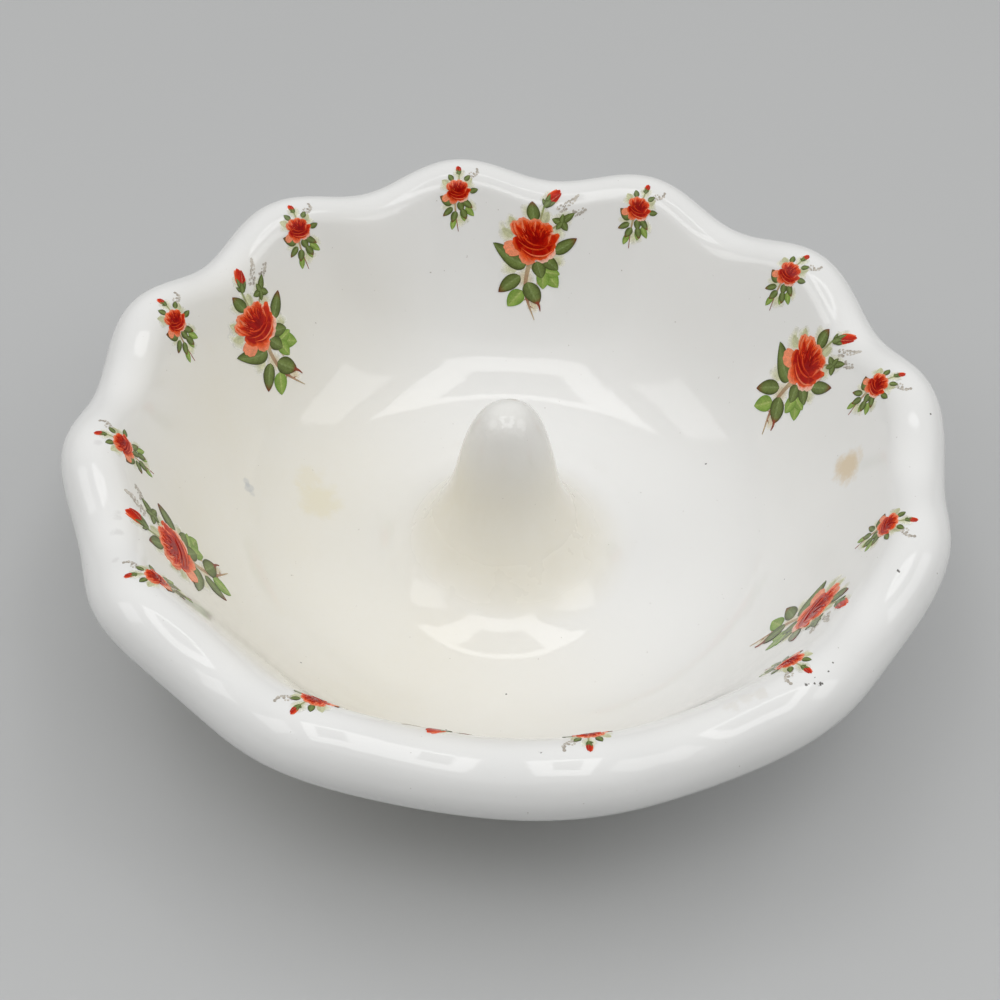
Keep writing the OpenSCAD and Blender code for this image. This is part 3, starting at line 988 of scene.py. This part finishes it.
def glaze_material(name, on_cone):
    material = bpy.data.materials.new(name)
    n = Nodes(material)
    height = n.height_of(n.place())
    share = n.maths("MULTIPLY", n.spread(n.noise(CLOUDS, 4.0), *CLOUD_SHARES, True), cream_and_warm_shade(n))
    # On the cone the cream and the painted warm shade fade out toward the tip
    if on_cone:
        share = n.maths("MULTIPLY", share, n.remap(height, *WHITE_TIP, 1.0, TIP_CREAM_AND_SHADE, smooth=True))
    colour = n.mix(share, GLAZE, CREAM_AND_WARM_SHADE)
    colour = n.mix(n.spread(n.noise(FLECKS), *FLECK_SHARES), colour, GLAZE)
    if not on_cone:
        colour = marked(n, colour)
    specks = n.remap(n.noise(SPECKS), *SPECK_CUT, smooth=True)
    colour = n.mix(n.maths("MULTIPLY", specks, SPECK_SHARE), colour, SPECK_BROWN)
    bare = n.remap(height, *GLAZE_ENDS, 1.0, 0.0, smooth=True)
    clay = n.mix(n.spread(n.noise(CLAY_GRAIN, 3.0), 0.0, 1.0), CLAY_LIGHT, CLAY_DARK)
    rough = n.maths("ADD", n.spread(n.noise(GLOSS_SCALE, 3.0), *GLAZE_ROUGH),
                    n.maths("MULTIPLY", bare, CLAY_ROUGH))
    dimpled = n.remap(n.noise(PATCHES), *PATCH_CUT, 0.0, PATCH_SHARE, smooth=True)
    if on_cone:
        waist = n.maths("MULTIPLY", n.remap(height, *WAIST_BELOW, smooth=True),
                        n.remap(height, *WAIST_ABOVE, 1.0, 0.0, smooth=True))
        rough = n.maths("ADD", rough, n.maths("MULTIPLY", waist, WAIST_ROUGH))
        dimpled = n.maths("MAXIMUM", dimpled, n.remap(height, *DIMPLED_TIP, smooth=True))
    normal = None
    for scale, strength, depth in (SWELLS, ORANGE_PEEL):
        normal = n.bump(n.noise(scale), strength, depth, normal)
    dimples = n.noise(CONE_DIMPLES if on_cone else BOWL_DIMPLES)
    normal = n.bump(dimples, n.maths("MULTIPLY", dimpled, DIMPLE_STRENGTH), DIMPLE_DEPTH, normal)
    n.shade("Base Color", n.mix(bare, colour, clay))
    n.shade("Roughness", rough)
    n.shade("IOR", GLAZE_IOR)
    n.shade("Normal", normal)
    return material


# The print's grain and cloudiness: scale, detail, thinnest and thickest
PRINT_GRAIN = (5200.0, 2.0, 0.82, 1.14)
PRINT_CLOUD = (900.0, 3.0, 0.86, 1.12)
PRINT_ROUGH = (0.14, 0.26)
PRINT_ROUGH_SCALE = 700.0
PRINT_IOR = 1.5
PRINT_SPECULAR = 0.22


def print_material():
    material = bpy.data.materials.new("fired_print")
    n = Nodes(material)
    tint = n.add("ShaderNodeVertexColor", layer_name="print").outputs["Color"]
    grain, cloud = (n.spread(n.noise(scale, detail, 0.6), low, high)
                    for scale, detail, low, high in (PRINT_GRAIN, PRINT_CLOUD))
    tone = n.add("ShaderNodeCombineColor")
    for channel in tone.inputs:
        n.put(n.maths("MULTIPLY", grain, cloud), channel)
    n.shade("Base Color", n.mix(1.0, tint, tone.outputs["Color"], "MULTIPLY"))
    n.shade("Roughness", n.spread(n.noise(PRINT_ROUGH_SCALE, 3.0), *PRINT_ROUGH))
    n.shade("IOR", PRINT_IOR)
    n.shade("Specular IOR Level", PRINT_SPECULAR)
    return material


FLOOR_HALF = 9.0
FLOOR_DARK = srgb(190, 191, 191)
FLOOR_LIGHT = srgb(194, 195, 195)
FLOOR_CLOUDS = 3.0
FLOOR_GRAIN = 60.0
FLOOR_ROUGH = (0.7, 0.8)
FLOOR_SPECULAR = 0.2


def floor_material():
    material = bpy.data.materials.new("studio_floor")
    n = Nodes(material)
    n.shade("Base Color", n.mix(n.spread(n.noise(FLOOR_CLOUDS), 0.0, 1.0), FLOOR_DARK, FLOOR_LIGHT))
    n.shade("Roughness", n.spread(n.noise(FLOOR_GRAIN, 3.0), *FLOOR_ROUGH))
    n.shade("Specular IOR Level", FLOOR_SPECULAR)
    return material


# Stage and light

def make_floor():
    corners = [(FLOOR_HALF * x, FLOOR_HALF * y, 0) for x, y in ((-1, -1), (1, -1), (1, 1), (-1, 1))]
    mesh = bpy.data.meshes.new("floor")
    mesh.from_pydata(corners, [], [(0, 1, 2, 3)])
    mesh.materials.append(floor_material())
    floor = bpy.data.objects.new("floor", mesh)
    bpy.context.collection.objects.link(floor)


# An overhead frame of soft light round a hole, in metres across and toward the camera
FRAME_HEIGHT = 0.79
FRAME_SIDE = 0.315
FRAME_NEAR = 0.44
FRAME_FAR = -0.20
HOLE_SIDE = 0.145
HOLE_NEAR = 0.21
HOLE_FAR = -0.13
FRAME_GLOW = 2.2
# Two soft boxes at the sides: place across, toward the camera and up, then size and glow
BOX_PLACE = (0.86, 0.10, 0.80)
BOX_SIZE = (0.54, 0.50)
BOX_GLOW = 1.3
# A bright tent behind and above, from its low glow to its high glow over these heights of a
# direction, and darker by a share on the camera's side, within so many degrees
TENT_LOW = 0.20
TENT_HIGH = 0.67
TENT_HEIGHTS = (-0.05, 0.75)
DARK_WIDE = 47.0
DARK_BLUR = 0.04
DARK_SHARE = 0.80
# How bright the camera sees the tent behind the floor's far edge
BACKDROP = 0.44
WHITE = (1.0, 1.0, 1.0, 1.0)
# A lamp that faces this nearly straight down is turned by the camera's right instead
LEVEL = 0.01


def lamp_frame(across, toward):
    """A point given in metres to the camera's right and toward the camera."""
    a = math.radians(CAMERA_AZIMUTH)
    return (toward * math.cos(a) - across * math.sin(a), toward * math.sin(a) + across * math.cos(a))


def area_lamp(name, place, aim, size, glow):
    """A lamp of the given size; glow is its brightness, whatever its size."""
    data = bpy.data.lights.new(name, "AREA")
    data.shape = "RECTANGLE"
    data.size, data.size_y = size
    data.energy = glow * math.pi * size[0] * size[1]
    lamp = bpy.data.objects.new(name, data)
    lamp.location = place
    face = (Vector(place) - Vector(aim)).normalized()
    side = Vector((0, 0, 1)).cross(face)
    if side.length < LEVEL:
        side = Vector((*lamp_frame(1, 0), 0))
    side.normalize()
    lamp.rotation_euler = Matrix((side, face.cross(side), face)).transposed().to_euler()
    bpy.context.collection.objects.link(lamp)


def make_frame():
    panels = (("frame_left", -FRAME_SIDE, -HOLE_SIDE, FRAME_FAR, FRAME_NEAR),
              ("frame_right", HOLE_SIDE, FRAME_SIDE, FRAME_FAR, FRAME_NEAR),
              ("frame_near", -HOLE_SIDE, HOLE_SIDE, HOLE_NEAR, FRAME_NEAR),
              ("frame_far", -HOLE_SIDE, HOLE_SIDE, FRAME_FAR, HOLE_FAR))
    for name, left, right, far, near in panels:
        x, y = lamp_frame((left + right) / 2, (far + near) / 2)
        area_lamp(name, (x, y, FRAME_HEIGHT), (x, y, 0), (right - left, near - far), FRAME_GLOW)


def make_boxes():
    across, toward, height = BOX_PLACE
    for name, side in (("box_left", -1), ("box_right", 1)):
        x, y = lamp_frame(side * across, toward)
        area_lamp(name, (x, y, height), (0, 0, RIM_Z * MM), BOX_SIZE, BOX_GLOW)


def make_tent():
    world = bpy.data.worlds.new("studio")
    n = Nodes(world)
    direction = n.add("ShaderNodeTexCoord").outputs["Generated"]
    toward = n.vector("DOT_PRODUCT", direction, (*lamp_frame(0, 1), 0))
    edge = math.cos(math.radians(DARK_WIDE))
    share = n.remap(toward, edge - DARK_BLUR, edge + DARK_BLUR, 1.0, 1.0 - DARK_SHARE, smooth=True)
    rise = n.remap(n.height_of(direction), *TENT_HEIGHTS, TENT_LOW, TENT_HIGH, smooth=True)
    seen = n.add("ShaderNodeLightPath").outputs["Is Camera Ray"]
    strength = n.remap(seen, 0.0, 1.0, n.maths("MULTIPLY", rise, share), BACKDROP)
    back = n.tree.nodes["Background"]
    n.put(strength, back.inputs["Strength"])
    n.put(WHITE, back.inputs["Color"])
    bpy.context.scene.world = world


def make_lights():
    make_frame()
    make_boxes()
    make_tent()


def make_sprays(material):
    step = 360.0 / LOBES
    large, small = large_spray(), small_spray()
    for i, lay in enumerate(LARGE_LAY):
        large.build("rose_spray_large_%d" % (i + 1), (2 * i + 0.5) * step, LARGE_DROP, lay, material,
                    "rose_decal_large_%d" % (i + 1))
    for i, lay in enumerate(SMALL_LAY):
        small.build("rose_spray_small_%d" % (i + 1), i * step, SMALL_DROP, lay, material,
                    "rose_decal_small_%d" % (i + 1))


make_bowl(glaze_material("white_glaze", on_cone=False))
make_cone(glaze_material("cone_glaze", on_cone=True))
make_sprays(print_material())
make_floor()
make_lights()

bpy.context.scene.view_settings.view_transform = "Standard"
